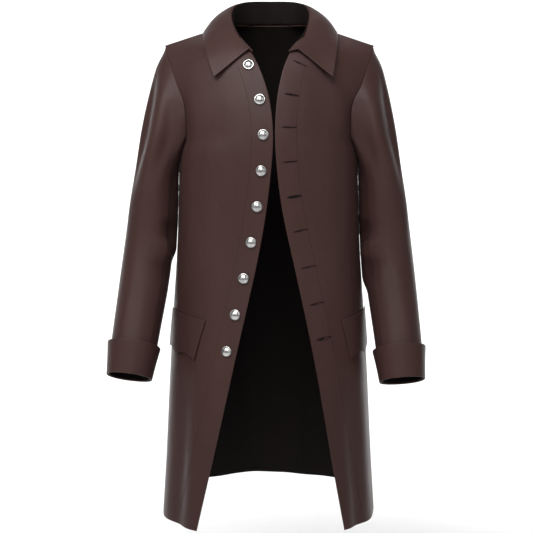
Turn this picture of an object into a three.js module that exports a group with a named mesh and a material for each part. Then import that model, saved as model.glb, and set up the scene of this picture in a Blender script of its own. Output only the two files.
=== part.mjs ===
// A man's knee-length frock coat in the eighteenth-century style, worn open and filled out, with nobody in it.
// It is cut as a coat is: a back, two fronts, two-piece sleeves, turned-back cuffs, a turn-down collar,
// scalloped pocket flaps, nine domed metal buttons, and a black lining where the open coat shows it.
//
// Frame: millimetres, +Z up, +X to the wearer's left, -Y to the wearer's front.
// The origin is the middle of the neck at the height of the shoulders, where a wearer holds the coat up.
// "right" and "left" are the wearer's own: side -1 is right (-X) and side +1 is left (+X).

import * as THREE from "three";

// ---------------------------------------------------------------- driving dimensions

const CLOTH = 2; // coating with its interlining
const COLLAR_CLOTH = 2.4; // two layers of coating
const LINING = 1;
const SEAM = 0.3; // clearance between pieces that are sewn together
const REST = 0.6; // clearance under a piece that lies on another

const ARMPIT_Z = -250;
const FRONT_HEM_Z = -980;
const BACK_HEM_LIFT = 20; // how much higher the hem hangs at the middle of the back
const SIDE_HEM_LIFT = 3;
const NECK_OFFSET = 4; // the neck hangs this far to the wearer's left

// The coat's rings from hem to armpit: half width at the side seams, depth before and behind the side
// seams at the middle, and how full the ring's corners are (0.55 is an ellipse).
const RINGS = [
  { z: -980, half: 216.5, front: 215, back: 198, full: 0.63 },
  { z: -860, half: 210, front: 196, back: 181, full: 0.62 },
  { z: -760, half: 206, front: 181, back: 168, full: 0.62 },
  { z: -650, half: 201, front: 165, back: 154, full: 0.62 },
  { z: -560, half: 196, front: 152, back: 140, full: 0.63 },
  { z: -460, half: 189, front: 140, back: 124, full: 0.65 },
  { z: -360, half: 186, front: 137, back: 118, full: 0.66 },
  { z: ARMPIT_Z, half: 184, front: 139, back: 123, full: 0.66 },
];

// Where the two front edges hang: they meet at the chest and swing apart below it.
const FRONT_EDGES = [
  { z: -980, right: -138, left: 146 },
  { z: -866, right: -112, left: 125 },
  { z: -731, right: -81, left: 102 },
  { z: -617, right: -56, left: 81 },
  { z: -540, right: -38, left: 64 },
  { z: -425, right: -13, left: 39 },
  { z: -347, right: -1, left: 22 },
  { z: -290, right: 6, left: 15.5 },
  { z: ARMPIT_Z, right: 8.5, left: 13 },
  { z: -211, right: 8.5, left: 12.5 },
  { z: -172, right: 6, left: 14 },
  { z: -132, right: -2, left: 17 },
  { z: -92, right: -15, left: 28 },
  { z: -55, right: -31, left: 40 },
];

// Rows of cloth from the armpit up to the shoulder seam, for the half of the coat at -X. Each row runs from
// its inner end to the armhole; "leave" and "reach" are the handles of its curve at those two ends.
const YOKE_FRONT = [
  { inner: [0, -137, -214], leave: [-78, 0, 0], reach: [6, -54, 4], armhole: [-169, -46, -233] },
  { inner: [0, -131, -165], leave: [-76, 0, -2], reach: [16, -40, 8], armhole: [-164, -68, -198] },
  { inner: [0, -119, -110], leave: [-66, 0, -2], reach: [28, -32, 16], armhole: [-171, -71, -155] },
  { inner: [-36, -98, -55], leave: [-50, -3, 2], reach: [38, -26, 24], armhole: [-183, -62, -120] },
  { inner: [-60, -69, -27], leave: [-42, -8, -3], reach: [44, -20, 24], armhole: [-196, -43, -82] },
  { inner: [-74, -34, -4], leave: [-44, -4, -8], reach: [44, -9, 19], armhole: [-208, -20, -50] },
];
const SHOULDER = { inner: [-78, 0, 14], leave: [-45, 1, -10], reach: [45, -2, 14], armhole: [-215, 6, -28] };
const YOKE_BACK = [
  { inner: [0, 126, -205], leave: [-78, 0, 0], reach: [4, 50, 4], armhole: [-177, 41, -237] },
  { inner: [0, 124, -150], leave: [-72, 0, -4], reach: [12, 36, 10], armhole: [-172, 66, -203] },
  { inner: [0, 116, -92], leave: [-62, 2, -6], reach: [26, 27, 18], armhole: [-173, 78, -163] },
  { inner: [0, 99, -36], leave: [-54, 4, -8], reach: [36, 20, 26], armhole: [-179, 80, -128] },
  { inner: [0, 71, 22], leave: [-40, 8, -10], reach: [44, 16, 30], armhole: [-188, 72, -100] },
  { inner: [-42, 62, 22], leave: [-40, 6, -10], reach: [48, 11, 28], armhole: [-197, 55, -77] },
  { inner: [-67, 36, 19], leave: [-44, 3, -9], reach: [46, 4, 22], armhole: [-207, 31, -49] },
];
const FRONT_EDGE_ROWS = 3; // rows of YOKE_FRONT that start on the front edge; the others start on the neckline

// The sleeve from biceps to mouth, for the side at -X: the middle of each ring, its half width from body
// side to outside, and its half depth from front to back.
const SLEEVE_RINGS = [
  { x: -233, y: -2, z: -300, half: 41, depth: 74 },
  { x: -238, y: -3, z: -350, half: 46, depth: 70 },
  { x: -245, y: -9, z: -431, half: 50, depth: 65 },
  { x: -253, y: -29, z: -512, half: 51, depth: 60 },
  { x: -263, y: -57, z: -589, half: 48, depth: 55 },
  { x: -270, y: -80, z: -647, half: 46.5, depth: 52 },
  { x: -276, y: -97, z: -697, half: 43.5, depth: 49 },
];
const SLEEVE_SWING = { right: 0, left: 11 }; // how much nearer the body the mouth hangs
const SLEEVE_DROP = { right: 0, left: 7 }; // how much longer that sleeve hangs
const FRONT_SEAM = 138; // where the two sleeve pieces meet, in degrees from the outside towards the front
const BACK_SEAM = 236;

const CUFF_HEIGHT = 62;
const CUFF_FLARE = 4.5; // how far the top edge of the cuff stands off the sleeve

// Half of the collar, measured from the middle of the neck: rows from the middle of the back to the front edge.
// The stand rises from the seam to the fold, and the fall turns over it and down to its edge.
const COLLAR = [
  { fold: [0, 66, 71], leave: [0, 22, 3], reach: [0, 6, 38], edge: [0, 96, 4] },
  { fold: [49, 57, 69], leave: [12, 18, 3], reach: [6, 6, 38], edge: [80, 88, -6] },
  { fold: [74, 33, 57], leave: [24, 12, 3], reach: [5, 2, 36], edge: [127, 52, -16] },
  { fold: [81, 3, 36], leave: [24, 2, 5], reach: [-5, 0, 26], edge: [135, 4, -4] },
  { fold: [77, -32, 12], leave: [22, -6, 1], reach: [-14, 4, 14], edge: [135, -44, -24] },
  { fold: [65, -68, -18], leave: [21, -8, -8], reach: [-20, 6, 12], edge: [127, -88, -62] },
  { fold: [43, -99, -49], leave: [24, -6, -19], reach: [-24, 5, 19], edge: [112, -112, -106] },
];
const COLLAR_FRONT_SHIFT = { right: 0, left: 11 }; // the left end of the collar starts further from its front edge
const FOLD_AT = 0.34; // the stand's share of the way from seam to edge
const LINED_STAND = 12 / 14; // the stand's lining stops short of the collar's front ends

const FLAP = { fromEdge: 79, z: -583, width: 122, height: 80, rise: 0.13, slant: 0.1, scallop: 9, flare: 1 };
const FLAP_SHIFT = { right: 0, left: -3 };

const BUTTONS = { count: 9, radius: 10.5, dome: 5.5, rim: 1.2, fromEdge: 19.5, top: -80.5, pitch: 70 };

// ---------------------------------------------------------------- small maths

const V = (x, y, z) => new THREE.Vector3(x, y, z);
const vec = (a) => V(a[0], a[1], a[2]);
const plus = (a, b) => V(a[0] + b[0], a[1] + b[1], a[2] + b[2]);
const mix = (a, b, t) => a + (b - a) * t;
const rad = THREE.MathUtils.degToRad;

// A smooth curve through values at rising knots. With slopes of zero length at the ends it stays inside them.
function smooth(knots, values) {
  const slope = values.map((_, i) => {
    const a = Math.max(i - 1, 0);
    const b = Math.min(i + 1, values.length - 1);
    return (values[b] - values[a]) / (knots[b] - knots[a]);
  });
  return (k) => {
    let i = 0;
    while (i < knots.length - 2 && k > knots[i + 1]) i++;
    const h = knots[i + 1] - knots[i];
    const t = (k - knots[i]) / h;
    const t2 = t * t;
    const t3 = t2 * t;
    return (
      (2 * t3 - 3 * t2 + 1) * values[i] +
      (t3 - 2 * t2 + t) * h * slope[i] +
      (3 * t2 - 2 * t3) * values[i + 1] +
      (t3 - t2) * h * slope[i + 1]
    );
  };
}

function smoothPoints(knots, points) {
  const axes = ["x", "y", "z"].map((k) => smooth(knots, points.map((p) => p[k])));
  return (k) => V(axes[0](k), axes[1](k), axes[2](k));
}

function bezier([a, b, c, d], t) {
  const s = 1 - t;
  return V(0, 0, 0)
    .addScaledVector(a, s * s * s)
    .addScaledVector(b, 3 * s * s * t)
    .addScaledVector(c, 3 * s * t * t)
    .addScaledVector(d, t * t * t);
}

// The control points of the stretch of a curve from t to its end.
function stretchFrom([a, b, c, d], t) {
  const ab = a.clone().lerp(b, t);
  const bc = b.clone().lerp(c, t);
  const cd = c.clone().lerp(d, t);
  const abc = ab.clone().lerp(bc, t);
  const bcd = bc.clone().lerp(cd, t);
  return [abc.clone().lerp(bcd, t), bcd, cd, d.clone()];
}

// Where a curve crosses a value of x. Its x falls as t grows.
function crossing(curve, x) {
  let low = -0.3;
  let high = 1;
  for (let i = 0; i < 40; i++) {
    const middle = (low + high) / 2;
    if (bezier(curve, middle).x > x) low = middle;
    else high = middle;
  }
  return (low + high) / 2;
}

// ---------------------------------------------------------------- the block: rings below, yoke above

const zOf = RINGS.map((r) => r.z);
const ring = {};
for (const size of ["half", "front", "back", "full"]) ring[size] = smooth(zOf, RINGS.map((r) => r[size]));

const edgeZ = FRONT_EDGES.map((e) => e.z);
const edgeX = { right: smooth(edgeZ, FRONT_EDGES.map((e) => e.right)), left: smooth(edgeZ, FRONT_EDGES.map((e) => e.left)) };

// A quarter of a ring, drawn for the side at -X, from the middle of the front or back to the side seam.
function quarter(z, face) {
  const depth = face === "front" ? -ring.front(z) : ring.back(z);
  const half = ring.half(z);
  const full = ring.full(z);
  return [V(0, depth, z), V(-half * full, depth, z), V(-half, depth * full, z), V(-half, 0, z)];
}

const rowOf = (r) => [vec(r.inner), plus(r.inner, r.leave), plus(r.armhole, r.reach), vec(r.armhole)];

// Both halves are worked out at -X and mirrored, so a left front's edge is given there as -x.
function mirroredEdge(side, z) {
  return side === "left" ? -edgeX.left(z) : edgeX.right(z);
}

const neckShift = (side) => (side === "left" ? -NECK_OFFSET : NECK_OFFSET);

// Moves the neck end of a row; the armhole end goes with it only outwards, as on the squarer shoulder.
function shifted(row, dx) {
  const out = Math.min(dx, 0);
  return [dx, mix(out, dx, 0.6), out, out].map((move, i) => row[i].clone().setX(row[i].x + move));
}

// The rows of one panel as control points at rising values of v: 0 at the hem, 1 at the shoulder seam.
function panelRows(face, side) {
  const dx = neckShift(side);
  const rows = RINGS.map((r) => {
    const whole = quarter(r.z, face);
    return face === "front" ? stretchFrom(whole, crossing(whole, mirroredEdge(side, r.z))) : whole;
  });
  const yoke = (face === "front" ? YOKE_FRONT : YOKE_BACK).map((r, i) => {
    const whole = rowOf(r);
    if (face === "front" && i < FRONT_EDGE_ROWS)
      return stretchFrom(whole, crossing(whole, mirroredEdge(side, r.inner[2])));
    return r.inner[0] === 0 ? whole : shifted(whole, dx);
  });
  const shoulder = shifted(rowOf(SHOULDER), dx);
  const opposite = face === "front" ? YOKE_BACK : YOKE_FRONT;
  const beyond = shifted(rowOf(opposite[opposite.length - 1]), dx);
  return { rows: [...rows, ...yoke, shoulder], beyond, corner: RINGS.length - 1 };
}

// One panel of cloth as a surface: at(u, v), with u from the inner edge to the side seam or armhole.
function panel(face, side) {
  const { rows, beyond, corner } = panelRows(face, side);
  const all = [...rows, beyond];
  const v = [0];
  for (let i = 1; i < all.length; i++) {
    const step = (all[i][0].distanceTo(all[i - 1][0]) + all[i][3].distanceTo(all[i - 1][3])) / 2;
    v.push(v[i - 1] + step);
  }
  const whole = v[rows.length - 1];
  const knots = v.map((k) => k / whole);
  const curves = [0, 1, 2, 3].map((k) => {
    const points = all.map((row) => row[k]);
    if (k < 2) return smoothPoints(knots, points);
    const below = smoothPoints(knots.slice(0, corner + 1), points.slice(0, corner + 1));
    const above = smoothPoints(knots.slice(corner), points.slice(corner));
    return (t) => (t <= knots[corner] ? below(t) : above(t));
  });
  const sign = side === "left" ? -1 : 1;
  const armpit = knots[corner];
  function at(u, vv) {
    const p = bezier(curves.map((c) => c(vv)), u);
    const down = Math.max(0, 1 - vv / armpit);
    const lift = face === "front" ? mix(0, SIDE_HEM_LIFT, u) : mix(BACK_HEM_LIFT, SIDE_HEM_LIFT, u * u);
    p.z += lift * down * down;
    p.x *= sign;
    return p;
  }
  // The outward normal, from the surface's own slopes.
  const turn = (face === "front" ? 1 : -1) * sign;
  function normal(u, vv) {
    const h = 1e-3;
    const du = at(Math.min(u + h, 1), vv).sub(at(Math.max(u - h, 0), vv));
    const dv = at(u, Math.min(vv + h, 1)).sub(at(u, Math.max(vv - h, 0)));
    return du.cross(dv).normalize().multiplyScalar(-turn);
  }
  const vAtEdge = (z) => {
    let low = 0;
    let high = 1;
    for (let i = 0; i < 40; i++) {
      const middle = (low + high) / 2;
      if (at(0, middle).z < z) low = middle;
      else high = middle;
    }
    return (low + high) / 2;
  };
  // The u that lies a distance along the row from its inner edge.
  function uAlong(vv, distance) {
    const steps = 200;
    let walked = 0;
    let last = at(0, vv);
    for (let i = 1; i <= steps; i++) {
      const next = at(i / steps, vv);
      const step = next.distanceTo(last);
      if (walked + step >= distance) return (i - 1 + (distance - walked) / step) / steps;
      walked += step;
      last = next;
    }
    return 1;
  }
  return { at, normal, armpit, vAtEdge, uAlong, neck: knots[corner + FRONT_EDGE_ROWS + 1], backNeck: knots[corner + 5] };
}

const PANELS = {
  front: { right: panel("front", "right"), left: panel("front", "left") },
  back: { right: panel("back", "right"), left: panel("back", "left") },
};

// ---------------------------------------------------------------- walls of cloth

const outward = (p, n, d) => p.clone().addScaledVector(n, d);

// A closed wall from a grid of points on its outer face and another on its inner face. A grid that goes all
// the way round joins its last column to its first.
function wall(outer, inner, round = false) {
  const rows = outer.length;
  const columns = outer[0].length;
  const points = [...outer.flat(), ...inner.flat()];
  const base = rows * columns;
  const at = (side, r, c) => side * base + r * columns + (c % columns);
  const faces = [];
  const quad = (a, b, c, d) => faces.push(a, b, c, a, c, d);
  const last = round ? columns : columns - 1;
  for (let r = 0; r < rows - 1; r++)
    for (let c = 0; c < last; c++) {
      quad(at(0, r, c), at(0, r, c + 1), at(0, r + 1, c + 1), at(0, r + 1, c));
      quad(at(1, r, c), at(1, r + 1, c), at(1, r + 1, c + 1), at(1, r, c + 1));
    }
  for (let c = 0; c < last; c++) {
    quad(at(0, 0, c), at(1, 0, c), at(1, 0, c + 1), at(0, 0, c + 1));
    quad(at(0, rows - 1, c), at(0, rows - 1, c + 1), at(1, rows - 1, c + 1), at(1, rows - 1, c));
  }
  if (!round)
    for (let r = 0; r < rows - 1; r++) {
      quad(at(0, r, 0), at(0, r + 1, 0), at(1, r + 1, 0), at(1, r, 0));
      quad(at(0, r, columns - 1), at(1, r, columns - 1), at(1, r + 1, columns - 1), at(0, r + 1, columns - 1));
    }
  return { points, faces };
}

// Turns points and faces into a geometry whose faces point out, whichever way its grid ran.
function geometryOf({ points, faces }) {
  let volume = 0;
  for (let i = 0; i < faces.length; i += 3)
    volume += points[faces[i]].dot(points[faces[i + 1]].clone().cross(points[faces[i + 2]]));
  if (volume < 0) for (let i = 0; i < faces.length; i += 3) [faces[i + 1], faces[i + 2]] = [faces[i + 2], faces[i + 1]];
  const geometry = new THREE.BufferGeometry().setFromPoints(points).setIndex(faces);
  geometry.computeVertexNormals();
  return geometry;
}

const evenly = (low, high, count) => Array.from({ length: count }, (_, i) => mix(low, high, i / (count - 1)));

// Points on a face moved inwards by a depth along the normals.
const faceGrid = (rows, depth) => rows.map((row) => row.map(({ p, n }) => outward(p, n, -depth)));
const wallOf = (rows, from, to, round) => geometryOf(wall(faceGrid(rows, from), faceGrid(rows, to), round));

const clip = SEAM / 2;

// A panel's grid, held back from its seams by half the seam clearance.
function panelGrid(side, us, vs) {
  return vs.map((v) =>
    us.map((u) => {
      const p = side.at(u, v);
      const n = side.normal(u, v);
      const across = side.at(Math.min(u + 0.01, 1), v).sub(side.at(Math.max(u - 0.01, 0), v)).normalize();
      const up = side.at(u, Math.min(v + 0.01, 1)).sub(side.at(u, Math.max(v - 0.01, 0))).normalize();
      if (u === 1) p.addScaledVector(across, -clip);
      if (v === 1) p.addScaledVector(up, -clip);
      return { p, n };
    }),
  );
}

const FRONT_COLUMNS = 10;
const BACK_COLUMNS = 9;
const LOW_ROWS = 13;
const HIGH_ROWS = 10;

function frontPanel(side) {
  const p = PANELS.front[side];
  const vs = [...evenly(0, p.armpit, LOW_ROWS), ...evenly(p.armpit, 1, HIGH_ROWS).slice(1)];
  return wallOf(panelGrid(p, evenly(0, 1, FRONT_COLUMNS + 1), vs), 0, CLOTH);
}

// The back is one piece: two mirrored halves that share the points of the middle line up to the neck.
function backPanel(from, to) {
  const columns = BACK_COLUMNS;
  const halves = ["right", "left"].map((side) => {
    const p = PANELS.back[side];
    const low = evenly(0, p.armpit, LOW_ROWS);
    const high = evenly(p.armpit, p.backNeck, 7).slice(1);
    const yoke = evenly(p.backNeck, 1, 4).slice(1);
    const us = evenly(0, 1, columns + 1);
    return { below: panelGrid(p, us, [...low, ...high]), above: panelGrid(p, us, yoke) };
  });
  const [right, left] = halves;
  const below = right.below.map((row, i) => [...row.slice().reverse(), ...left.below[i].slice(1)]);
  const middle = columns; // the column of the middle line
  const sheet = [];
  const index = new Map();
  const put = (key, point) => {
    if (!index.has(key)) {
      index.set(key, sheet.length);
      sheet.push(point);
    }
    return index.get(key);
  };
  const quads = [];
  const cell = (a, b, c, d) => quads.push([a, b, c, d]);
  below.forEach((row, r) => row.forEach((point, c) => put(`b${r}:${c}`, point)));
  for (let r = 0; r < below.length - 1; r++)
    for (let c = 0; c < 2 * columns; c++)
      cell(index.get(`b${r}:${c}`), index.get(`b${r}:${c + 1}`), index.get(`b${r + 1}:${c + 1}`), index.get(`b${r + 1}:${c}`));
  const top = below.length - 1;
  [right, left].forEach((half, h) => {
    const columnOf = (c) => (h === 0 ? middle - c : middle + c);
    const key = (r, c) => (r < 0 ? `b${top}:${columnOf(c)}` : `a${h}:${r}:${c}`);
    half.above.forEach((row, r) => row.forEach((point, c) => put(key(r, c), point)));
    for (let r = -1; r < half.above.length - 1; r++)
      for (let c = 0; c < columns; c++) {
        const corners = [key(r, c), key(r, c + 1), key(r + 1, c + 1), key(r + 1, c)].map((k) => index.get(k));
        cell(...(h === 0 ? corners.reverse() : corners));
      }
  });
  return geometryOf(sheetWall(sheet, quads, from, to));
}

// A closed wall from any sheet of four-sided cells, with its open edges closed between the two faces.
function sheetWall(sheet, quads, from, to) {
  const count = sheet.length;
  const points = [...sheet.map(({ p, n }) => outward(p, n, -from)), ...sheet.map(({ p, n }) => outward(p, n, -to))];
  const faces = [];
  const edges = new Map();
  for (const [a, b, c, d] of quads) {
    faces.push(a, b, c, a, c, d, count + a, count + c, count + b, count + a, count + d, count + c);
    for (const [s, e] of [[a, b], [b, c], [c, d], [d, a]]) {
      if (!edges.delete(`${e}:${s}`)) edges.set(`${s}:${e}`, [s, e]);
    }
  }
  for (const [s, e] of edges.values()) faces.push(e, s, count + s, e, count + s, count + e);
  return { points, faces };
}

// ---------------------------------------------------------------- sleeves

const sideSign = (side) => (side === "left" ? -1 : 1); // shapes are drawn at -X and mirrored to +X

const sleeveAxis = {};
const sleeveSize = {};
for (const side of ["right", "left"]) {
  const first = SLEEVE_RINGS[0].z;
  const last = SLEEVE_RINGS[SLEEVE_RINGS.length - 1].z;
  const share = (z) => (first - z) / (first - last);
  const middles = SLEEVE_RINGS.map((r) =>
    V(r.x + SLEEVE_SWING[side] * share(r.z) ** 2, r.y, r.z - SLEEVE_DROP[side] * share(r.z)),
  );
  const knots = SLEEVE_RINGS.map((r) => share(r.z));
  sleeveAxis[side] = smoothPoints(knots, middles);
  sleeveSize[side] = { half: smooth(knots, SLEEVE_RINGS.map((r) => r.half)), depth: smooth(knots, SLEEVE_RINGS.map((r) => r.depth)) };
}

const FULLNESS = 0.92; // a sleeve's section is a little squarer than an ellipse

// The sleeve's section at t, from 0 at the biceps to 1 at the mouth; turn is 0 at the outside and grows
// towards the front, all drawn at -X.
function sleeveFrame(side, t) {
  const h = 0.01;
  const middle = sleeveAxis[side](t);
  const along = sleeveAxis[side](Math.min(t + h, 1)).sub(sleeveAxis[side](Math.max(t - h, 0))).normalize();
  const out = V(-1, 0, 0).addScaledVector(along, along.x).normalize();
  const front = along.clone().cross(out).normalize();
  if (front.y > 0) front.negate();
  return { middle, along, out, front };
}

function sleeveSection(side, t, turn, grow = 0) {
  const { middle, out, front } = sleeveFrame(side, t);
  const c = Math.cos(turn);
  const s = Math.sin(turn);
  const squarer = (k) => Math.sign(k) * Math.abs(k) ** FULLNESS;
  return middle
    .addScaledVector(out, squarer(c) * (sleeveSize[side].half(t) + grow))
    .addScaledVector(front, squarer(s) * (sleeveSize[side].depth(t) + grow));
}

// The armhole as a loop: from the shoulder tip down its front to the underarm and up its back. Under the arm the
// sleeve lies against the coat, so it starts off the coat's face there.
function armhole(side, turn) {
  const share = ((turn / Math.PI) % 2 + 2) % 2;
  const p = share <= 1 ? PANELS.front[side] : PANELS.back[side];
  const down = share <= 1 ? share : 2 - share;
  const v = mix(1, p.armpit, down);
  const point = outward(p.at(1, v), p.normal(1, v), (CLOTH + REST) * down);
  point.x = point.x * sideSign(side) - SEAM - CLOTH * (1 - down);
  return point;
}

const CAP = 0.3; // the share of the sleeve's own length that is its cap, from armhole to biceps

// A point of the sleeve's outer face: s is 0 at the armhole, CAP at the biceps and 1 at the mouth.
function sleevePoint(side, turn, s) {
  if (s >= CAP) return sleeveSection(side, (s - CAP) / (1 - CAP), turn);
  const start = armhole(side, turn);
  const end = sleeveSection(side, 0, turn);
  const { along } = sleeveFrame(side, 0);
  const c = Math.cos(turn);
  const leave = V(-(17 + 5 * c), -Math.sin(turn) * 12, -(14 - 2 * c));
  const reach = start.distanceTo(end) * 0.36;
  return bezier([start, start.clone().add(leave), end.clone().addScaledVector(along, -reach), end], s / CAP);
}

function sleeveNormal(side, turn, s) {
  const h = 2e-3;
  const around = sleevePoint(side, turn + h, s).sub(sleevePoint(side, turn - h, s));
  const along = sleevePoint(side, turn, Math.min(s + h, 1)).sub(sleevePoint(side, turn, Math.max(s - h, 0)));
  return along.cross(around).normalize();
}

function mirrored(side, { p, n }) {
  const k = sideSign(side);
  return { p: V(p.x * k, p.y, p.z), n: V(n.x * k, n.y, n.z) };
}

const SLEEVE_STATIONS = [0, 0.06, 0.13, 0.21, CAP, 0.39, 0.48, 0.57, 0.66, 0.75, 0.84, 0.92, 1];
const TOP_TURNS = evenly(rad(BACK_SEAM - 360), rad(FRONT_SEAM), 15);
const UNDER_TURNS = evenly(rad(FRONT_SEAM), rad(BACK_SEAM), 7);
const ROUND_TURNS = [...TOP_TURNS, ...UNDER_TURNS.slice(1, -1)];

function sleevePiece(side, turns) {
  const rows = SLEEVE_STATIONS.map((s) =>
    turns.map((turn, c) => {
      const p = sleevePoint(side, turn, s);
      const n = sleeveNormal(side, turn, s);
      const around = sleevePoint(side, turn + 0.01, s).sub(sleevePoint(side, turn - 0.01, s)).normalize();
      if (c === 0) p.addScaledVector(around, clip);
      if (c === turns.length - 1) p.addScaledVector(around, -clip);
      return mirrored(side, { p, n });
    }),
  );
  return wallOf(rows, 0, CLOTH);
}

// How long the sleeve is from biceps to mouth, so that the cuff and lining can be given in millimetres.
function sleeveLength(side) {
  const steps = evenly(0, 1, 40).map((t) => sleeveAxis[side](t));
  return steps.slice(1).reduce((sum, p, i) => sum + p.distanceTo(steps[i]), 0);
}

function tube(side, stations) {
  return stations.map(({ t, grow }) => {
    return ROUND_TURNS.map((turn) => {
      const p = sleeveSection(side, t, turn, grow);
      const inside = sleeveSection(side, t, turn, grow - 1);
      return mirrored(side, { p, n: p.clone().sub(inside).normalize() });
    });
  });
}

function cuff(side) {
  const under = CLOTH + REST;
  const stations = [
    { up: -2, grow: under },
    { up: 8, grow: under + 0.6 },
    { up: CUFF_HEIGHT * 0.5, grow: under + CUFF_FLARE * 0.35 },
    { up: CUFF_HEIGHT - 2, grow: under + CUFF_FLARE },
  ].map(({ up, grow }) => ({ t: 1 - up / sleeveLength(side), grow }));
  return wallOf(tube(side, stations), 0, CLOTH, true);
}

// The lining is seen only inside the mouth, so it is as long as the last two stations of the sleeve.
function sleeveLining(side) {
  const inside = -(CLOTH + SEAM);
  const stations = SLEEVE_STATIONS.slice(-3).map((s) => ({ t: (s - CAP) / (1 - CAP), grow: inside }));
  return wallOf(tube(side, stations), 0, LINING, true);
}

// ---------------------------------------------------------------- what lies on the coat

// Samples of the coat's outer face, to find the nearest place on it.
const samples = [];
for (const face of ["front", "back"])
  for (const side of ["right", "left"]) {
    const p = PANELS[face][side];
    for (const v of evenly(p.armpit, 1, 40)) for (const u of evenly(0, 1, 40)) samples.push({ p: p.at(u, v), n: p.normal(u, v) });
  }

// Moves a point out until it is at least a lift above the coat.
function above(point, lift) {
  let best = samples[0];
  for (const s of samples) if (s.p.distanceToSquared(point) < best.p.distanceToSquared(point)) best = s;
  const height = point.clone().sub(best.p).dot(best.n);
  return height < lift ? outward(point, best.n, lift - height) : point;
}

const COLLAR_KNOTS = COLLAR.map((_, i) => i / (COLLAR.length - 1));
const collarLine = {};
for (const part of ["fold", "leave", "reach", "edge"])
  collarLine[part] = smoothPoints(COLLAR_KNOTS, COLLAR.map((r) => vec(r[part])));

// The neck edge of the back and front, from the middle of the back (0) over the shoulder (0.5) to the front (1).
function neckEdge(side, k) {
  const onBack = k < 0.5;
  const p = PANELS[onBack ? "back" : "front"][side];
  const v = onBack ? mix(p.backNeck, 1, 2 * k) : mix(1, p.neck, 2 * k - 1);
  const edge = p.at(0, v);
  const inward = edge.clone().sub(p.at(0.02, v)).normalize();
  return edge.addScaledVector(inward, SEAM).add(V(0, 0, 2 * SEAM));
}

// A point of the collar's under side: k runs from the middle of the back (0) to the front end (1), and w from the
// neck seam (0) up the stand to the fold (FOLD_AT) and over it down to the edge (1).
function collarPoint(side, k, w) {
  const sign = side === "left" ? 1 : -1;
  const forward = Math.max(0, (k - 0.6) / 0.4);
  const shift = COLLAR_FRONT_SHIFT[side] * forward * forward;
  const placed = (p) => V(sign * (p.x + shift) + NECK_OFFSET, p.y, p.z);
  const handle = (p) => V(sign * p.x, p.y, p.z);
  const fold = placed(collarLine.fold(k));
  if (w <= FOLD_AT) return neckEdge(side, k).lerp(fold, w / FOLD_AT);
  const edge = placed(collarLine.edge(k));
  const controls = [fold, fold.clone().add(handle(collarLine.leave(k))), edge.clone().add(handle(collarLine.reach(k))), edge];
  return bezier(controls, (w - FOLD_AT) / (1 - FOLD_AT));
}

const COLLAR_K = evenly(0, 1, 15);
const STAND_W = [0, FOLD_AT / 2, FOLD_AT];
const COLLAR_W = [...STAND_W, 0.39, 0.46, 0.58, 0.72, 0.86, 1];

function collarHalf(side, ks, ws, lift) {
  const turn = side === "left" ? 1 : -1;
  return ks.map((k) =>
    ws.map((w) => {
      const h = 4e-3;
      const across = collarPoint(side, k, Math.min(w + h, 1)).sub(collarPoint(side, k, Math.max(w - h, 0)));
      const along = collarPoint(side, Math.min(k + h, 1), w).sub(collarPoint(side, Math.max(k - h, 0), w));
      const n = across.cross(along).normalize().multiplyScalar(turn);
      const p = collarPoint(side, k, w);
      return { p: w > FOLD_AT ? above(p, lift) : p, n };
    }),
  );
}

const collarGrid = (ks, ws, lift) => [
  ...collarHalf("right", ks, ws, lift).reverse(),
  ...collarHalf("left", ks, ws, lift).slice(1),
];

const COLLAR_LIFT = 2.2; // how far the fall stays off the coat it lies on
const collar = () => wallOf(collarGrid(COLLAR_K, COLLAR_W, COLLAR_LIFT), 0, COLLAR_CLOTH);

function collarLining() {
  const ks = COLLAR_K.filter((k) => k <= LINED_STAND + 1e-6);
  return wallOf(collarGrid(ks, STAND_W, 0), COLLAR_CLOTH + SEAM, COLLAR_CLOTH + SEAM + LINING);
}

// A flap hangs from a slanting pocket line and lies on the front, with two scallops cut into its lower edge.
function flap(side) {
  const p = PANELS.front[side];
  const scallop = (s) => 1 - Math.abs(Math.sin(2 * Math.PI * s)) ** 0.7;
  const grid = evenly(0, 1, 5).map((t) =>
    evenly(0, 1, 17).map((s) => {
      const across = s * FLAP.width;
      const length = FLAP.height - FLAP.scallop * (1 - scallop(s));
      const down = t * length;
      const v = p.vAtEdge(FLAP.z + across * FLAP.rise - down);
      const u = p.uAlong(v, FLAP.fromEdge + FLAP_SHIFT[side] + across + down * FLAP.slant);
      const n = p.normal(u, v);
      return { p: outward(p.at(u, v), n, CLOTH + REST + FLAP.flare * t), n };
    }),
  );
  return wallOf(grid, 0, CLOTH);
}

// A domed button turned about its own axis, with a rolled rim and a flat back that its shank stands on.
function button(index) {
  const { radius, dome, rim, fromEdge, top, pitch } = BUTTONS;
  const p = PANELS.front.right;
  const v = p.vAtEdge(top - index * pitch);
  const u = p.uAlong(v, fromEdge);
  const n = p.normal(u, v);
  const profile = [
    [0, 0.4],
    [2.5, 0.4],
    [2.5, 2],
    [radius - rim, 2],
    [radius, 2.8],
    [radius - 0.3, 3.8],
    [radius * 0.72, 2 + dome * 0.78],
    [radius * 0.36, 2 + dome * 0.98],
    [0, 2 + dome],
  ].map(([r, h]) => new THREE.Vector2(r, h));
  const mesh = new THREE.Mesh(new THREE.LatheGeometry(profile, 14), MATERIALS.metal);
  mesh.quaternion.setFromUnitVectors(V(0, 1, 0), n);
  mesh.position.copy(p.at(u, v));
  mesh.name = `button_${index + 1}`;
  return mesh;
}

// ---------------------------------------------------------------- materials and the coat

const finish = (color, roughness, metalness = 0) => new THREE.MeshStandardMaterial({ color, roughness, metalness });
const MATERIALS = {
  coating: finish(0x3e2c2a, 0.72),
  lining: finish(0x0c0a09, 0.5),
  metal: finish(0xd8d8d6, 0.22, 1),
};

const coat = new THREE.Group();
coat.name = "frock_coat";

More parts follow.
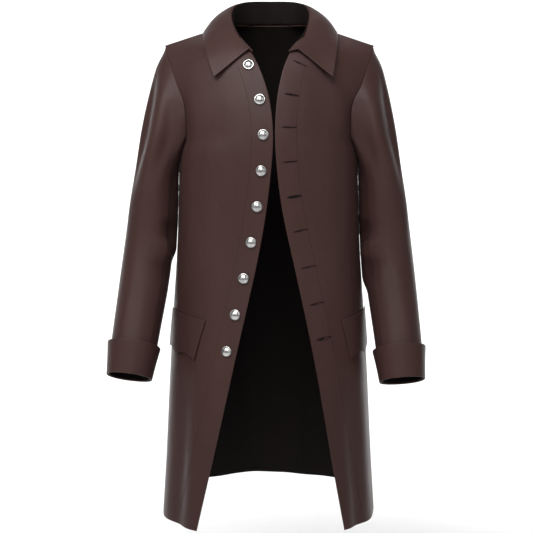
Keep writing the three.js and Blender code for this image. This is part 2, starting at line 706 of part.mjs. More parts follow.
function add(name, geometry, material) {
  const mesh = new THREE.Mesh(geometry, material);
  mesh.name = name;
  coat.add(mesh);
}

add("back", backPanel(0, CLOTH), MATERIALS.coating);
add("back_lining", backPanel(CLOTH + SEAM, CLOTH + SEAM + LINING), MATERIALS.lining);
for (const side of ["right", "left"]) {
  add(`front_${side}`, frontPanel(side), MATERIALS.coating);
  add(`top_sleeve_${side}`, sleevePiece(side, TOP_TURNS), MATERIALS.coating);
  add(`under_sleeve_${side}`, sleevePiece(side, UNDER_TURNS), MATERIALS.coating);
  add(`cuff_${side}`, cuff(side), MATERIALS.coating);
  add(`sleeve_lining_${side}`, sleeveLining(side), MATERIALS.lining);
  add(`pocket_flap_${side}`, flap(side), MATERIALS.coating);
}
add("collar", collar(), MATERIALS.coating);
add("collar_lining", collarLining(), MATERIALS.lining);
for (let i = 0; i < BUTTONS.count; i++) coat.add(button(i));

export default coat;
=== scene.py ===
# %% [markdown]
# # A frock coat in dark brown suiting
# The coat is worn open and filled out, with nobody in it. Each cloth piece starts from the thin solid
# of the same name in the frame, so that its cut and its place are right. Here it becomes smooth, gets
# its listed folds, and is given its cloth. Cloth simulation could drape it as well, but a tailored
# coat is stiff: a few listed folds keep its cut, and they are the same every time.

import math
import bmesh
import bpy
import numpy as np
from mathutils import Matrix, Vector
from mathutils.bvhtree import BVHTree


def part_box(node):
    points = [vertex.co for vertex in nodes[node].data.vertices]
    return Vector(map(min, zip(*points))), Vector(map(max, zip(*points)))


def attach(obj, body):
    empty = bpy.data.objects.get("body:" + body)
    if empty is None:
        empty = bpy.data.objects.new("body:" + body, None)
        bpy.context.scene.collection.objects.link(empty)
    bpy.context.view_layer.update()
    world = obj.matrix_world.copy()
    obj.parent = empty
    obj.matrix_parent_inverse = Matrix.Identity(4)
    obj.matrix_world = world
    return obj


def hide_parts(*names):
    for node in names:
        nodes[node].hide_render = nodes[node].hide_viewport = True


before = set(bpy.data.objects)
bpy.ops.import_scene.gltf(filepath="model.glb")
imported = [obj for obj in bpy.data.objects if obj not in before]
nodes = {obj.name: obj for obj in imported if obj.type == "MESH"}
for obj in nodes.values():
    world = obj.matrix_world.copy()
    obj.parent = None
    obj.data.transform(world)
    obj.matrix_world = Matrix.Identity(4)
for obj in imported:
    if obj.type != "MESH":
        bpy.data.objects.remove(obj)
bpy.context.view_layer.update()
print("pieces in the frame:", len(nodes))

# %% [markdown]
# ## Colours
# The suiting is a dark reddish brown with a faint satin sheen. The lining is almost black. The buttons
# are bright metal. Colours are kept in one place, in linear light.

# %% Colours
BROWN_DEEP = (0.035, 0.0168, 0.0148)
BROWN_LIT = (0.057, 0.0278, 0.0245)
THREAD = (0.016, 0.009, 0.008)
LINING_DARK = (0.0055, 0.0038, 0.0038)
LINING_LIT = (0.0095, 0.0068, 0.0062)
METAL_LIT = (0.74, 0.74, 0.73)
METAL_DEEP = (0.40, 0.40, 0.39)


# %% [markdown]
# ## A small kit for materials
# A material is a graph of nodes. Writing each link out in full hides what the material is, so two
# helpers add a node with its values and join it to others.

# %% Helpers for nodes
def new_material(name):
    material = bpy.data.materials.new(name)
    material.use_nodes = True
    tree = material.node_tree
    shader = tree.nodes["Principled BSDF"]
    return material, tree, shader


def add_node(tree, kind, inputs=(), **settings):
    node = tree.nodes.new(kind)
    for key, value in settings.items():
        setattr(node, key, value)
    for key, value in dict(inputs).items():
        if isinstance(value, bpy.types.NodeSocket):
            tree.links.new(value, node.inputs[key])
        else:
            node.inputs[key].default_value = value
    return node


def place_scaled(tree, scale):
    coordinates = add_node(tree, "ShaderNodeTexCoord")
    mapping = add_node(
        tree, "ShaderNodeMapping", {"Vector": coordinates.outputs["Object"], "Scale": scale}
    )
    return mapping.outputs["Vector"]


FIRST_UNTIL = 0.3
SECOND_FROM = 0.72


def two_colours(tree, factor, first, second):
    ramp = add_node(tree, "ShaderNodeValToRGB", {"Fac": factor})
    ramp.color_ramp.elements[0].position = FIRST_UNTIL
    ramp.color_ramp.elements[1].position = SECOND_FROM
    ramp.color_ramp.elements[0].color = (*first, 1)
    ramp.color_ramp.elements[1].color = (*second, 1)
    return ramp.outputs["Color"]


# %% [markdown]
# ## The suiting
# Suiting is woven as a fine twill: its threads make slanting lines. Here a wave texture in the bump
# makes them. At a scale of 100 its lines are 6.3 mm apart along each axis, or 3.6 mm measured square to
# the lines, which is coarser than the half millimetre of real suiting. A slow noise varies the colour a
# little, as light and handling do, and another stands for the soft unevenness of pressed cloth. The
# face's slight sheen is the shader's own.

# %% Suiting, thread and lining
CLOUD_SCALE = (9, 9, 3)
FIBRE_SCALE = (900, 900, 500)
PRESSED_SCALE = (14, 14, 5)
TWILL_RELIEF = 0.0002
PRESSED_RELIEF = 0.01


def woven(name, deep, lit, roughness, sheen, gloss, twill_scale=100.0, puff=0.35):
    material, tree, shader = new_material(name)
    cloud = add_node(
        tree, "ShaderNodeTexNoise", {"Vector": place_scaled(tree, CLOUD_SCALE), "Scale": 1.0, "Detail": 3.0}
    )
    fine = add_node(tree, "ShaderNodeTexNoise", {"Vector": place_scaled(tree, FIBRE_SCALE), "Scale": 1.0})
    both = add_node(
        tree, "ShaderNodeMath", {0: cloud.outputs["Fac"], 1: fine.outputs["Fac"]}, operation="ADD"
    )
    half = add_node(tree, "ShaderNodeMath", {0: both.outputs[0], 1: 0.5}, operation="MULTIPLY")
    tree.links.new(two_colours(tree, half.outputs[0], deep, lit), shader.inputs["Base Color"])

    twill = add_node(
        tree,
        "ShaderNodeTexWave",
        {"Vector": place_scaled(tree, (1, 1, 1)), "Scale": twill_scale, "Distortion": 0.6, "Detail": 1.0},
        bands_direction="DIAGONAL",
    )
    rough = add_node(
        tree,
        "ShaderNodeMapRange",
        {"Value": cloud.outputs["Fac"], "To Min": roughness - 0.05, "To Max": roughness + 0.06},
    )
    tree.links.new(rough.outputs["Result"], shader.inputs["Roughness"])
    pressed = add_node(
        tree, "ShaderNodeTexNoise", {"Vector": place_scaled(tree, PRESSED_SCALE), "Scale": 1.0, "Detail": 2.0}
    )
    slow = add_node(
        tree, "ShaderNodeBump", {"Height": pressed.outputs["Fac"], "Distance": PRESSED_RELIEF, "Strength": puff}
    )
    weave = add_node(
        tree,
        "ShaderNodeBump",
        {
            "Height": twill.outputs["Fac"],
            "Distance": TWILL_RELIEF,
            "Strength": 0.35,
            "Normal": slow.outputs["Normal"],
        },
    )
    tree.links.new(weave.outputs["Normal"], shader.inputs["Normal"])
    shader.inputs["Sheen Weight"].default_value = sheen
    shader.inputs["Sheen Roughness"].default_value = 0.45
    shader.inputs["Specular IOR Level"].default_value = gloss
    return material


suiting = woven("brown_suiting", BROWN_DEEP, BROWN_LIT, 0.46, 0.01, 0.16)
lining = woven("black_lining", LINING_DARK, LINING_LIT, 0.7, 0.0, 0.06, 0.05 / 0.0003, 0.15)
thread = woven("buttonhole_thread", THREAD, BROWN_DEEP, 0.7, 0.0, 0.1, 125.0, 0.0)
print("cloths:", suiting.name, lining.name, thread.name)


# %% [markdown]
# ## The buttons' metal
# Cheap costume buttons are plated and bright. A slow noise in the roughness keeps the plating from
# being a perfect mirror.

# %% Button metal
PLATING_SCALE = (160, 160, 160)


def plated(name):
    material, tree, shader = new_material(name)
    cloud = add_node(
        tree, "ShaderNodeTexNoise", {"Vector": place_scaled(tree, PLATING_SCALE), "Scale": 1.0, "Detail": 4.0}
    )
    tree.links.new(two_colours(tree, cloud.outputs["Fac"], METAL_DEEP, METAL_LIT), shader.inputs["Base Color"])
    rough = add_node(tree, "ShaderNodeMapRange", {"Value": cloud.outputs["Fac"], "To Min": 0.16, "To Max": 0.3})
    tree.links.new(rough.outputs["Result"], shader.inputs["Roughness"])
    dents = add_node(
        tree, "ShaderNodeBump", {"Height": cloud.outputs["Fac"], "Distance": 0.0004, "Strength": 0.25}
    )
    tree.links.new(dents.outputs["Normal"], shader.inputs["Normal"])
    shader.inputs["Metallic"].default_value = 1.0
    return material


metal = plated("button_plating")
print("metal:", metal.name)

# %% [markdown]
# ## Folds
# A worn coat hangs in long soft folds below the waist, and its sleeves are pulled into creases at the
# head and inside the elbow. Each row is one fold: a trough where depth is negative and a ridge where it
# is positive. On the body, turn is the direction seen from above, in degrees from the front towards the
# wearer's left. Every layer moves by the same amount at the same place, so that the lining and the
# flaps stay on the cloth they belong to.

# %% Folds of the body
BODY_FOLDS = [
    {"turn": -71, "top": -0.50, "foot": -1.10, "width": 8, "depth": 0.0041, "drift": 5},
    {"turn": -57, "top": -0.58, "foot": -1.10, "width": 6, "depth": -0.0046, "drift": 6},
    {"turn": -46, "top": -0.70, "foot": -1.10, "width": 6, "depth": 0.0024, "drift": 3},
    {"turn": 66, "top": -0.48, "foot": -1.10, "width": 8, "depth": 0.0041, "drift": -5},
    {"turn": 54, "top": -0.62, "foot": -1.10, "width": 6, "depth": -0.0043, "drift": -5},
    {"turn": 47, "top": -0.76, "foot": -1.10, "width": 4, "depth": 0.0019, "drift": -3},
    {"turn": -104, "top": -0.44, "foot": -1.10, "width": 11, "depth": -0.0081, "drift": 4},
    {"turn": -128, "top": -0.50, "foot": -1.10, "width": 10, "depth": 0.0081, "drift": 6},
    {"turn": -150, "top": -0.42, "foot": -1.10, "width": 9, "depth": -0.0088, "drift": 3},
    {"turn": -171, "top": -0.55, "foot": -1.10, "width": 8, "depth": 0.0065, "drift": 0},
    {"turn": 158, "top": -0.46, "foot": -1.10, "width": 9, "depth": -0.0078, "drift": -2},
    {"turn": 134, "top": -0.52, "foot": -1.10, "width": 11, "depth": 0.0084, "drift": -5},
    {"turn": 108, "top": -0.47, "foot": -1.10, "width": 10, "depth": -0.0070, "drift": -4},
    {"turn": -64, "top": -0.10, "foot": -0.25, "width": 7, "depth": -0.0041, "drift": -20},
    {"turn": 60, "top": -0.08, "foot": -0.24, "width": 7, "depth": -0.0046, "drift": 20},
    {"turn": -52, "top": -0.12, "foot": -0.30, "width": 8, "depth": 0.0032, "drift": -14},
    {"turn": 50, "top": -0.11, "foot": -0.28, "width": 8, "depth": 0.0030, "drift": 14},
    {"turn": 180, "top": -0.06, "foot": -0.26, "width": 7, "depth": -0.0032, "drift": 0},
    {"turn": -140, "top": -0.10, "foot": -0.30, "width": 9, "depth": 0.0041, "drift": 10},
    {"turn": 142, "top": -0.12, "foot": -0.28, "width": 9, "depth": 0.0038, "drift": -10},
]


def fade_in(value, start, end):
    share = min(max((value - start) / (end - start), 0.0), 1.0)
    return share * share * (3 - 2 * share)


def around(a, b):
    return (a - b + 180) % 360 - 180


def body_fold(point):
    turn = math.degrees(math.atan2(point.x, -point.y))
    push = 0.0
    for fold in BODY_FOLDS:
        down = (fold["top"] - point.z) / (fold["top"] - fold["foot"])
        if down <= 0 or down >= 1:
            continue
        where = fold["turn"] + fold["drift"] * down
        swell = fade_in(down, 0, 0.55) * (1 if fold["foot"] < -1 else fade_in(1 - down, 0, 0.5))
        push += fold["depth"] * swell * math.exp(-((around(turn, where) / fold["width"]) ** 2))
    outward = Vector((point.x, point.y, 0)).normalized()
    return outward * push


# %% [markdown]
# A sleeve's folds are given on its own centre line, which bends forward at the elbow. The line is read
# from the frame: it is the middle of the sleeve's solids at a few heights.

# %% Folds of the sleeves
SLEEVE_FOLDS = [
    {"turn": 60, "top": -0.06, "foot": -0.36, "width": 13, "depth": -0.0065, "drift": -18},
    {"turn": 90, "top": -0.07, "foot": -0.30, "width": 12, "depth": 0.0052, "drift": -16},
    {"turn": 112, "top": -0.09, "foot": -0.34, "width": 11, "depth": -0.0068, "drift": -22},
    {"turn": 30, "top": -0.10, "foot": -0.46, "width": 16, "depth": 0.0034, "drift": 10},
    {"turn": 128, "top": -0.38, "foot": -0.45, "width": 24, "depth": -0.0068, "drift": 40},
    {"turn": 120, "top": -0.42, "foot": -0.48, "width": 22, "depth": 0.0052, "drift": 40},
    {"turn": 118, "top": -0.46, "foot": -0.53, "width": 26, "depth": -0.0052, "drift": 45},
    {"turn": 75, "top": -0.44, "foot": -0.68, "width": 12, "depth": 0.0023, "drift": -14},
    {"turn": -60, "top": -0.08, "foot": -0.34, "width": 14, "depth": -0.0052, "drift": 16},
    {"turn": -92, "top": -0.10, "foot": -0.36, "width": 13, "depth": 0.0049, "drift": 12},
    {"turn": -30, "top": -0.34, "foot": -0.52, "width": 18, "depth": -0.0039, "drift": 12},
]
LEFT_SLEEVE_TURN = 6
SLICE_REACH = 0.035
ELBOW_LINE = [-0.10, -0.22, -0.30, -0.38, -0.46, -0.54, -0.62, -0.70]


def sleeve_middle(side):
    rings = []
    for piece in ("top_sleeve_", "under_sleeve_"):
        rings += [v.co for v in nodes[piece + side].data.vertices]
    cloud = np.array([tuple(c) for c in rings])
    line = []
    for z in ELBOW_LINE:
        near = cloud[np.abs(cloud[:, 2] - z) < SLICE_REACH]
        line.append((near[:, :2].min(0) + near[:, :2].max(0)) / 2)
    return np.array(line)


MIDDLES = {side: sleeve_middle(side) for side in ("right", "left")}


def sleeve_fold(side):
    outside = 1 if side == "left" else -1
    line = MIDDLES[side]
    heights = np.array(ELBOW_LINE)[::-1]

    def fold_of(point):
        cx = np.interp(point.z, heights, line[::-1, 0])
        cy = np.interp(point.z, heights, line[::-1, 1])
        across = Vector((point.x - cx, point.y - cy, 0))
        turn = math.degrees(math.atan2(-across.y, across.x * outside))
        push = 0.0
        for fold in SLEEVE_FOLDS:
            down = (fold["top"] - point.z) / (fold["top"] - fold["foot"])
            if down <= 0 or down >= 1:
                continue
            where = fold["turn"] + fold["drift"] * down + (LEFT_SLEEVE_TURN if side == "left" else 0)
            swell = fade_in(down, 0, 0.35) * fade_in(1 - down, 0, 0.45)
            push += fold["depth"] * swell * math.exp(-((around(turn, where) / fold["width"]) ** 2))
        return across.normalized() * push

    return fold_of


print("sleeve centre line, right:", np.round(MIDDLES["right"][:, 0], 3))


# %% [markdown]
# ## From thin solid to smooth cloth
# The solids are faceted. Their triangles are joined back into the four-sided faces that they came from,
# and a subdivision surface rounds them. The narrow faces along the edges, as wide as the cloth is
# thick, are creased, so that an edge stays an edge but looks rolled. The solid's broad faces fall into
# two islands, the outer and the inner side of the cloth, and each side can have its own material.

# %% Smooth a piece of cloth
THICKEST_EDGE = 0.0034
ROLLED = 0.72
SHARP_CORNER = math.radians(35)
SAME_POINT = 2e-5


def broad_sides(bm):
    """The two islands of broad faces, the larger one first."""
    rim = {f for f in bm.faces if min(e.calc_length() for e in f.edges) < THICKEST_EDGE}
    unseen = set(bm.faces) - rim
    islands = []
    while unseen:
        stack = [unseen.pop()]
        island = set(stack)
        while stack:
            for edge in stack.pop().edges:
                for other in edge.link_faces:
                    if other in unseen:
                        unseen.discard(other)
                        island.add(other)
                        stack.append(other)
        islands.append(island)
    islands.sort(key=lambda i: -sum(f.calc_area() for f in i))
    return rim, islands


def smooth_cloth(node, name, fold_of, levels, outer, inner):
    bm = bmesh.new()
    bm.from_mesh(nodes[node].data)
    bmesh.ops.remove_doubles(bm, verts=bm.verts, dist=SAME_POINT)
    bmesh.ops.join_triangles(
        bm, faces=bm.faces, angle_face_threshold=math.radians(40), angle_shape_threshold=math.radians(60)
    )
    rim, islands = broad_sides(bm)
    inner_side = islands[1] if len(islands) > 1 else set()
    crease = bm.edges.layers.float.new("crease_edge")
    for face in rim:
        for edge in face.edges:
            if any(f not in rim for f in edge.link_faces):
                edge[crease] = ROLLED
            elif edge.calc_face_angle(0) > SHARP_CORNER:
                edge[crease] = 1.0
    for face in bm.faces:
        face.material_index = 1 if face in inner_side else 0
        face.smooth = True
    mesh = bpy.data.meshes.new(name)
    bm.to_mesh(mesh)
    bm.free()
    mesh.materials.append(outer)
    mesh.materials.append(inner)
    piece = bpy.data.objects.new(name, mesh)
    bpy.context.scene.collection.objects.link(piece)
    rounding = piece.modifiers.new("rounding", "SUBSURF")
    rounding.levels = rounding.render_levels = levels
    bpy.context.view_layer.update()
    evaluated = piece.evaluated_get(bpy.context.evaluated_depsgraph_get())
    smoothed = bpy.data.meshes.new_from_object(evaluated)
    piece.modifiers.clear()
    piece.data = smoothed
    smoothed.name = name
    for vertex in smoothed.vertices:
        vertex.co += fold_of(vertex.co)
    smoothed.polygons.foreach_set("use_smooth", [True] * len(smoothed.polygons))
    smoothed.update()
    return piece


def finish_piece(piece, node):
    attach(piece, "root")
    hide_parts(node)


# %% [markdown]
# ## The cloth pieces
# What shows most is rounded three times, and the linings twice. The fronts have no lining of their own,
# so their inner side is given the lining's look.

# %% Make the cloth pieces
FINE = 3
PLAIN = 2

cloth = {}
for node in ("back", "front_right", "front_left"):
    cloth[node] = smooth_cloth(node, f"{node}_cloth", body_fold, FINE, suiting, lining)
cloth["back_lining"] = smooth_cloth("back_lining", "back_lining_cloth", body_fold, PLAIN, lining, lining)
for side in ("right", "left"):
    for piece in ("top_sleeve", "under_sleeve", "cuff"):
        node = f"{piece}_{side}"
        cloth[node] = smooth_cloth(node, f"{node}_cloth", sleeve_fold(side), FINE, suiting, suiting)
    node = f"sleeve_lining_{side}"
    cloth[node] = smooth_cloth(node, f"{node}_cloth", sleeve_fold(side), PLAIN, lining, lining)
    node = f"pocket_flap_{side}"
    cloth[node] = smooth_cloth(node, f"{node}_cloth", body_fold, FINE, suiting, suiting)
cloth["collar"] = smooth_cloth("collar", "collar_cloth", body_fold, FINE, suiting, suiting)
cloth["collar_lining"] = smooth_cloth("collar_lining", "collar_lining_cloth", body_fold, PLAIN, lining, lining)
print("cloth pieces:", len(cloth))

# %% [markdown]
# A sleeve is eased into its armhole and the seam is pressed, so no gap shows there. After rounding, the
# sleeve's head is drawn to the armhole edge of the back and front. The pull is strongest at the seam
# and fades out down the sleeve.

# %% Ease the sleeves into the armholes
from mathutils.kdtree import KDTree

SEAM_REACH = 0.034
SEAM_SEARCH = 0.009
SEAM_NEIGHBOURS = 6
SEAM_PULL = 0.85


def tree_of(points):
    tree = KDTree(len(points))
    for i, point in enumerate(points):
        tree.insert(point, i)
    tree.balance()
    return tree


def ease_sleeve(side):
    body = [v.co.copy() for name in (f"front_{side}", "back") for v in cloth[name].data.vertices]
    body_tree = tree_of(body)
    pieces = [cloth[f"top_sleeve_{side}"], cloth[f"under_sleeve_{side}"]]
    pulls = []
    for piece in pieces:
        for vertex in piece.data.vertices:
            place, _, distance = body_tree.find(vertex.co)
            if distance < SEAM_SEARCH:
                pulls.append((vertex.co.copy(), place - vertex.co))
    pull_tree = tree_of([place for place, _ in pulls])
    for piece in pieces:
        moves = []
        for vertex in piece.data.vertices:
            near = pull_tree.find_n(vertex.co, SEAM_NEIGHBOURS)
            distance = near[0][2]
            if distance > SEAM_REACH:
                moves.append(None)
                continue
            drawn = sum((pulls[i][1] for _, i, _ in near), Vector()) / len(near)
            moves.append(drawn * (1 - fade_in(distance, 0, SEAM_REACH)) * SEAM_PULL)
        for vertex, move in zip(piece.data.vertices, moves):
            if move is not None:
                vertex.co += move
        piece.data.update()
    print(f"eased the {side} sleeve at {len(pulls)} points")


for side in ("right", "left"):
    ease_sleeve(side)

# %% [markdown]
# ## Hanging the pieces
# Each cloth piece is hung from the root, and the solid in the frame that it was made from is hidden.


for node, piece in cloth.items():
    finish_piece(piece, node)


# %% [markdown]
# ## Finding places on a front
# Buttons, buttonholes and stitching lie on the fronts. A ray from in front of the coat finds the cloth
# at a given height and distance from the middle, with the direction it faces, so nothing has to be
# measured twice.

# %% Rays onto the fronts
FAR_IN_FRONT = -1.0
ON_THE_FRONT = 0.17
PAST_THE_EDGE = -0.06
HALVINGS = 24


def surface_of(piece):
    bm = bmesh.new()
    bm.from_mesh(piece.data)
    tree = BVHTree.FromBMesh(bm)
    bm.free()
    return tree


fronts = {side: surface_of(cloth[f"front_{side}"]) for side in ("right", "left")}


def on_front(side, x, z):
    place, normal, _, _ = fronts[side].ray_cast(Vector((x, FAR_IN_FRONT, z)), Vector((0, 1, 0)))
    return place, normal


def edge_at(side, z):
    """The x of the front edge at a height, found by halving."""
    outward = 1 if side == "left" else -1
    outside = ON_THE_FRONT * outward
    inside = PAST_THE_EDGE * outward
    for _ in range(HALVINGS):
        middle = (outside + inside) / 2
        if on_front(side, middle, z)[0] is None:
            inside = middle
        else:
            outside = middle
    return outside


print("front edges at the chest:", round(edge_at("right", -0.3), 4), round(edge_at("left", -0.3), 4))


# %% [markdown]
# ## Thread and stitching
# A line of sewing is a thin thread that follows the cloth. A polyline with a round bevel is enough,
# turned into a mesh. Facings are sewn 42 mm inside each front edge.

# %% Threads along the cloth
def thread_along(name, points, radius, material, cyclic=False):
    curve = bpy.data.curves.new(name, "CURVE")
    curve.dimensions = "3D"
    curve.bevel_depth = radius
    curve.bevel_resolution = 1
    spline = curve.splines.new("POLY")
    spline.points.add(len(points) - 1)
    for place, point in zip(spline.points, points):
        place.co = (*point, 1)
    spline.use_cyclic_u = cyclic
    drawn = bpy.data.objects.new(name, curve)
    bpy.context.scene.collection.objects.link(drawn)
    bpy.context.view_layer.update()
    mesh = bpy.data.meshes.new_from_object(drawn.evaluated_get(bpy.context.evaluated_depsgraph_get()))
    bpy.data.objects.remove(drawn)
    piece = bpy.data.objects.new(name, mesh)
    bpy.context.scene.collection.objects.link(piece)
    mesh.materials.clear()
    mesh.materials.append(material)
    mesh.polygons.foreach_set("use_smooth", [True] * len(mesh.polygons))
    return piece


def join(name, pieces):
    bpy.ops.object.select_all(action="DESELECT")
    for piece in pieces:
        piece.select_set(True)
    bpy.context.view_layer.objects.active = pieces[0]
    bpy.ops.object.join()
    pieces[0].name = name
    return pieces[0]


FACING_WIDTH = 0.042
STITCH_RADIUS = 0.00045
STITCH_STEP = 0.01
STITCH_TOP = -0.085
STITCH_FOOT = -0.96
STITCH_SUNK = 0.55


def facing_line(side):
    outward = 1 if side == "left" else -1
    points = []
    z = STITCH_TOP
    while z > STITCH_FOOT:
        x = edge_at(side, z) + outward * FACING_WIDTH
        place, normal = on_front(side, x, z)
        if place is not None:
            points.append(place - normal * STITCH_RADIUS * STITCH_SUNK)
        z -= STITCH_STEP
    return thread_along(f"facing_stitch_{side}", points, STITCH_RADIUS, thread)


for side in ("right", "left"):
    stitched = facing_line(side)
    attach(stitched, "root")
    print("facing line", side, len(stitched.data.vertices), "points")

# %% [markdown]
# ## Buttonholes
# A buttonhole is a slit worked round with close stitches. Each is a flat ring of thread, long and
# narrow, which runs square to the front edge. The cloth is not cut: inside the ring lies a flat sheet of
# the lining's near-black, painted shade for the dark opening of the slit. A few have been stretched
# by wear and gape, so each row says how far.

# %% Worked buttonholes
HOLE_LENGTH = 0.029
HOLE_FROM_EDGE = 0.013
HOLES = [
    {"z": -0.066, "gape": 0.0006},
    {"z": -0.137, "gape": 0.0011},
    {"z": -0.205, "gape": 0.0006},
    {"z": -0.275, "gape": 0.0006},
    {"z": -0.345, "gape": 0.0021},
    {"z": -0.413, "gape": 0.0008},
    {"z": -0.484, "gape": 0.0006},
    {"z": -0.555, "gape": 0.0009},
    {"z": -0.622, "gape": 0.0019},
]
HOLE_THREAD = 0.0006
HOLE_STEPS = 28
SLOPE_REACH = 0.03


def buttonhole(index, row):
    z = row["z"]
    slope = (edge_at("left", z + SLOPE_REACH) - edge_at("left", z - SLOPE_REACH)) / (2 * SLOPE_REACH)
    start = edge_at("left", z)
    ring = []
    slit = []
    length = math.hypot(1, slope)
    for i in range(HOLE_STEPS):
        angle = 2 * math.pi * i / HOLE_STEPS
        along = HOLE_FROM_EDGE + HOLE_LENGTH * (0.5 - 0.5 * math.cos(angle))
        aside = math.sin(angle) * (HOLE_THREAD + row["gape"])
        x = start + (along + aside * slope) / length
        height = z + (-slope * along + aside) / length
        place, normal = on_front("left", x, height)
        if place is None:
            continue
        ring.append(place + normal * 0.0002)
        slit.append(place + normal * 0.00015)
    worked = thread_along(f"worked_{index}", ring, HOLE_THREAD, thread, cyclic=True)
    # The slit is painted shade: a flat near-black sheet in the lining material, laid just over the cloth where
    # the opening would be dark.
    mesh = bpy.data.meshes.new(f"slit_{index}")
    mesh.from_pydata([tuple(p) for p in slit], [], [tuple(range(len(slit)))])
    mesh.materials.append(lining)
    painted_slit_shade = bpy.data.objects.new(f"slit_{index}", mesh)
    bpy.context.scene.collection.objects.link(painted_slit_shade)
    return join(f"buttonhole_{index}", [worked, painted_slit_shade])


for index, row in enumerate(HOLES, 1):
    hole = buttonhole(index, row)
    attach(hole, "root")
print("buttonholes:", len(HOLES))


# %% [markdown]
# ## Buttons
# Each button is a pressed dome with a rolled rim, sewn on by a shank. Its outline is turned about its
# axis. Its place and size come from the button's box in the frame, and it faces the way the cloth does.

# %% Turn the buttons
BUTTON_PROFILE = [  # share of the radius, height over the cloth in mm
    (0.0, 0.6), (0.22, 0.6), (0.24, 2.0), (0.8, 2.1), (0.93, 2.2), (0.99, 2.6), (1.0, 3.1), (0.965, 3.6),
    (0.92, 3.75), (0.885, 3.62), (0.84, 3.95), (0.72, 5.1), (0.56, 6.1), (0.38, 6.8), (0.2, 7.2), (0.0, 7.35),
]
BUTTON_SIDES = 40
BUTTON_COUNT = 9


def button(index):
    low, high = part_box(f"button_{index}")
    centre = (low + high) / 2
    radius = (high.x - low.x) / 2
    place, normal = on_front("right", centre.x, centre.z)
    mesh = bpy.data.meshes.new(f"button_{index}_metal")
    bm = bmesh.new()
    rings = []
    for share, height in BUTTON_PROFILE:
        count = 1 if share == 0 else BUTTON_SIDES
        rings.append([
            bm.verts.new((
                radius * share * math.cos(2 * math.pi * i / BUTTON_SIDES),
                radius * share * math.sin(2 * math.pi * i / BUTTON_SIDES),
                height / 1000,
            ))
            for i in range(count)
        ])
    for lower, upper in zip(rings, rings[1:]):
        for i in range(BUTTON_SIDES):
            j = (i + 1) % BUTTON_SIDES
            below = [lower[i % len(lower)], lower[j % len(lower)]]
            above = [upper[j % len(upper)], upper[i % len(upper)]]
            corners = below + above
            bm.faces.new(list(dict.fromkeys(corners)))
    bmesh.ops.recalc_face_normals(bm, faces=bm.faces)
    bm.to_mesh(mesh)
    bm.free()
    turn = normal.to_track_quat("Z", "Y").to_matrix().to_4x4()
    mesh.transform(turn)
    mesh.transform(Matrix.Translation(place))
    mesh.polygons.foreach_set("use_smooth", [True] * len(mesh.polygons))
    mesh.materials.append(metal)
    made = bpy.data.objects.new(f"button_{index}_metal", mesh)
    bpy.context.scene.collection.objects.link(made)
    return made


for index in range(1, BUTTON_COUNT + 1):
    made = button(index)
    finish_piece(made, f"button_{index}")
print("buttons:", BUTTON_COUNT)

# %% [markdown]
# ## Studio
# The coat hangs over a plain pale floor that curves up behind it. A large soft light from above and in
# front does most, weaker ones fill from both sides and from the front, and a pale room light fills the
# rest. Two more light the paper behind the coat. They face away from it, so that they put no bright
# edge on the sleeves.

# %% Floor and light
FLOOR_Z = -1.32
BACK_Y = 2.6
CURVE_RADIUS = 1.2
CURVE_STEPS = 12
HALF_WIDTH = 7


def sweep():
    start = BACK_Y - CURVE_RADIUS
    profile = [(-5.0, FLOOR_Z), (start, FLOOR_Z)]
    for i in range(1, CURVE_STEPS + 1):
        angle = math.pi / 2 * i / CURVE_STEPS
        y = start + CURVE_RADIUS * math.sin(angle)
        z = FLOOR_Z + CURVE_RADIUS - CURVE_RADIUS * math.cos(angle)
        profile.append((y, z))
    profile.append((BACK_Y, 5.0))
    points = [(x, y, z) for y, z in profile for x in (-HALF_WIDTH, HALF_WIDTH)]
    faces = [(2 * i, 2 * i + 1, 2 * i + 3, 2 * i + 2) for i in range(len(profile) - 1)]
    mesh = bpy.data.meshes.new("studio_sweep")
    mesh.from_pydata(points, [], faces)
    mesh.polygons.foreach_set("use_smooth", [True] * len(faces))
    made = bpy.data.objects.new("studio_sweep", mesh)
    bpy.context.scene.collection.objects.link(made)
    return made


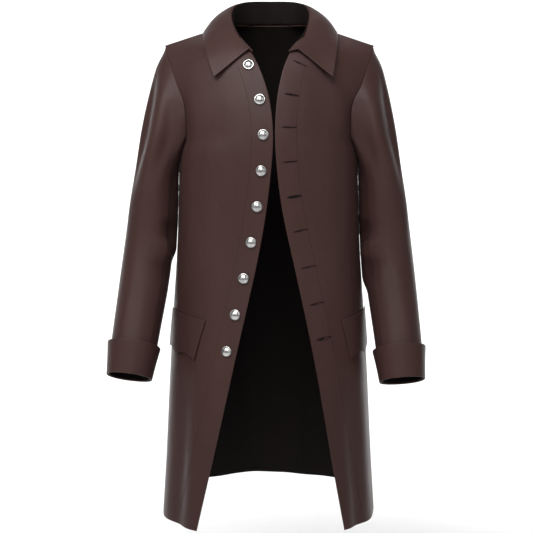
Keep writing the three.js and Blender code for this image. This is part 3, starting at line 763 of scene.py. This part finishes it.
floor = sweep()
paper, paper_tree, paper_shader = new_material("pale_paper")
paper_shader.inputs["Base Color"].default_value = (0.9, 0.9, 0.9, 1)
paper_shader.inputs["Roughness"].default_value = 0.9
floor.data.materials.append(paper)


def soft_light(name, place, aim, size, power):
    light = bpy.data.lights.new(name, "AREA")
    light.shape = "RECTANGLE"
    light.size, light.size_y = size
    light.energy = power
    lamp = bpy.data.objects.new(name, light)
    lamp.location = place
    lamp.rotation_euler = (Vector(aim) - Vector(place)).to_track_quat("-Z", "Y").to_euler()
    bpy.context.scene.collection.objects.link(lamp)


soft_light("key_above", (-0.5, -1.5, 1.3), (0, 0, -0.1), (1.6, 1.2), 52)
soft_light("fill_right", (-2.2, -2.0, 0.8), (0, 0, -0.1), (1.0, 2.0), 9)
soft_light("fill_left", (2.2, -2.0, 0.8), (0, 0, -0.1), (1.0, 2.0), 6)
soft_light("front_fill", (0, -3.4, 1.0), (0, 0, 0), (2.0, 1.4), 16)
for x in (-2.0, 2.0):
    soft_light("backdrop", (x, 1.2, 0.2), (x * 0.8, BACK_Y, -0.1), (1.0, 2.4), 60)

world = bpy.data.worlds.new("room")
world.use_nodes = True
world.node_tree.nodes["Background"].inputs["Color"].default_value = (1, 1, 1, 1)
world.node_tree.nodes["Background"].inputs["Strength"].default_value = 0.24
bpy.context.scene.world = world
bpy.context.scene.view_settings.view_transform = "Standard"

# %% [markdown]
# ## Camera
# The camera stands straight in front of the coat at the height of its waist, with a lens about half as
# long again as a normal one, so that the coat is little distorted. The frame is shifted down a little
# to hold the whole coat.

# %% Camera
LENS = 75.04
CAMERA_PLACE = (-0.0041, -2.3, -0.328)
camera_data = bpy.data.cameras.new("camera")
camera_data.lens = LENS
camera_data.sensor_width = 36
camera_data.shift_y = -0.1435
camera = bpy.data.objects.new("camera", camera_data)
camera.location = CAMERA_PLACE
camera.rotation_euler = (math.pi / 2, 0, 0)
bpy.context.scene.collection.objects.link(camera)
bpy.context.scene.camera = camera
print("camera at", CAMERA_PLACE, "with a lens of", LENS, "mm")
